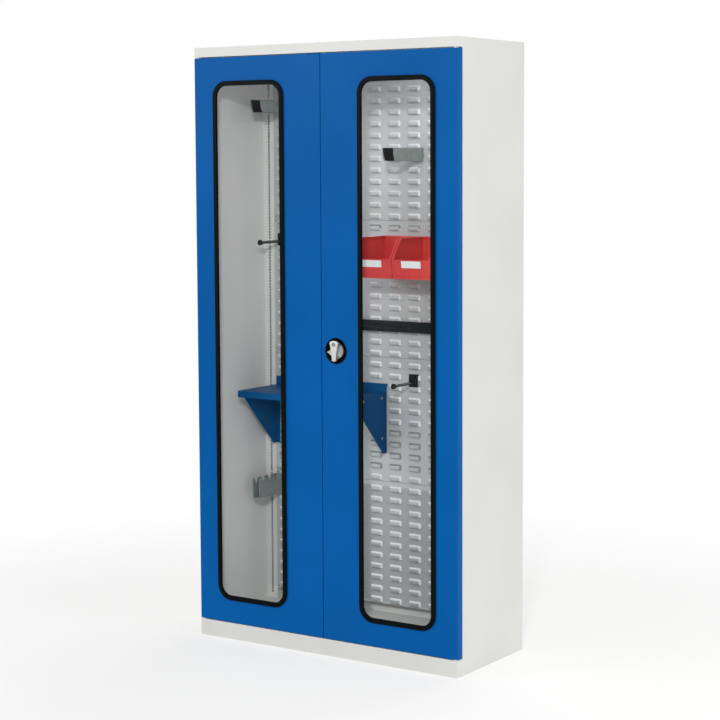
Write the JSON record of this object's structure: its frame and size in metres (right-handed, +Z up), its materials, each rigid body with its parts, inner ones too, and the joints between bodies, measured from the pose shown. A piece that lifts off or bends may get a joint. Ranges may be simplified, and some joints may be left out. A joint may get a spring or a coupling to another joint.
{
  "type": "tool cabinet with doors",
  "caption": "Tall steel tool cabinet with two windowed pin-hinged doors, a turn-knob rod lock, louvred back panels, a hung shelf, open bins and tool holders.",
  "frame": {"origin": "centre of the cabinet's footprint, on the floor", "axes": "+X to the right, +Y to the back, +Z up, seen from in front of the doors"},
  "size_m": [1, 0.4246, 1.95],
  "materials": {
    "carcass_grey": "light grey powder coat, fine texture, satin",
    "louvre_grey": "light grey powder coat, satin",
    "door_blue": "gentian blue powder coat, fine texture, satin",
    "fitting_blue": "blue powder coat, satin",
    "holder_grey": "mid grey powder coat, satin",
    "rail_black": "black powder coat, matt",
    "gasket_rubber": "extruded black rubber section, dull",
    "buffer_rubber": "black rubber",
    "pane_clear": "clear acrylic sheet, polished",
    "dish_black": "moulded black plastic, fine grain",
    "knob_silver": "die-cast metal, satin silver",
    "lock_steel": "zinc-plated steel",
    "guide_nylon": "natural nylon",
    "catch_black": "black plastic",
    "bin_red": "moulded red polypropylene",
    "label_white": "plain white card"
  },
  "bodies": {
    "carcass": {"side_panel_left": "carcass_grey", "side_panel_right": "carcass_grey", "roof_panel": "carcass_grey", "base_pan": "carcass_grey", "back_panel": "carcass_grey", "louvre_panel_top": "louvre_grey", "louvre_panel_upper": "louvre_grey", "louvre_panel_lower": "louvre_grey", "louvre_panel_bottom": "louvre_grey", "slotted_upright_left": "louvre_grey", "slotted_upright_right": "louvre_grey", "hinge_plates": "lock_steel", "hinge_bushes": "guide_nylon", "keeper_plates": "lock_steel", "levelling_feet": "catch_black", "magnet_catches": "catch_black", "door_buffers": "buffer_rubber", "shelf_deck": "fitting_blue", "shelf_bracket_left": "fitting_blue", "shelf_bracket_right": "fitting_blue", "hammer_holder_left": "holder_grey", "hammer_holder_right": "holder_grey", "comb_holder": "holder_grey", "tool_peg": "rail_black", "tape_peg": "rail_black", "magnet_rail": "rail_black"},
    "door_left": {"door_shell_left": "door_blue", "window_gasket_left": "gasket_rubber", "window_pane_left": "pane_clear", "door_stiffener_left": "door_blue", "hinge_pins_left": "lock_steel"},
    "door_right": {"door_shell_right": "door_blue", "window_gasket_right": "gasket_rubber", "window_pane_right": "pane_clear", "door_stiffener_right": "door_blue", "hinge_pins_right": "lock_steel", "lock_dish": "dish_black", "lock_case": "lock_steel", "lock_cover": "lock_steel", "rod_guides": "guide_nylon"},
    "knob": {"turn_knob": "knob_silver", "lock_spindle": "lock_steel"},
    "key_plug": {"key_cylinder": "knob_silver"},
    "rod_upper": {"lock_rod_upper": "lock_steel"},
    "rod_lower": {"lock_rod_lower": "lock_steel"},
    "bin_left": {"part_bin_left": "bin_red", "bin_label_left": "label_white"},
    "bin_right": {"part_bin_right": "bin_red", "bin_label_right": "label_white"}
  },
  "joints": [
    {"name": "door_left_hinge", "type": "hinge", "parent": "carcass", "child": "door_left", "pos_m": [-0.49, -0.197, 0.985], "axis": [0, 0, -1], "range_deg": [0, 180]},
    {"name": "door_right_hinge", "type": "hinge", "parent": "carcass", "child": "door_right", "pos_m": [0.49, -0.197, 0.985], "axis": [0, 0, 1], "range_deg": [0, 180]},
    {"name": "knob_turn", "type": "hinge", "parent": "door_right", "child": "knob", "pos_m": [0.055, -0.205, 0.985], "axis": [0, 1, 0], "range_deg": [0, 90]},
    {"name": "key_turn", "type": "hinge", "parent": "knob", "child": "key_plug", "pos_m": [0.055, -0.205, 1.006], "axis": [0, 1, 0], "range_deg": [0, 90]},
    {"name": "rod_upper_slide", "type": "slide", "parent": "door_right", "child": "rod_upper", "axis": [0, 0, 1], "range_m": [0, 0.0142]},
    {"name": "rod_lower_slide", "type": "slide", "parent": "door_right", "child": "rod_lower", "axis": [0, 0, -1], "range_m": [0, 0.0142]},
    {"name": "bin_left_lift", "type": "slide", "parent": "carcass", "child": "bin_left", "axis": [0, 0, 1], "range_m": [0, 0.008]},
    {"name": "bin_right_lift", "type": "slide", "parent": "carcass", "child": "bin_right", "axis": [0, 0, 1], "range_m": [0, 0.008]}
  ],
  "couplings": [
    {"joint": "rod_upper_slide", "follows": "knob_turn", "m_per_rad": 0.009},
    {"joint": "rod_lower_slide", "follows": "knob_turn", "m_per_rad": 0.009}
  ]
}
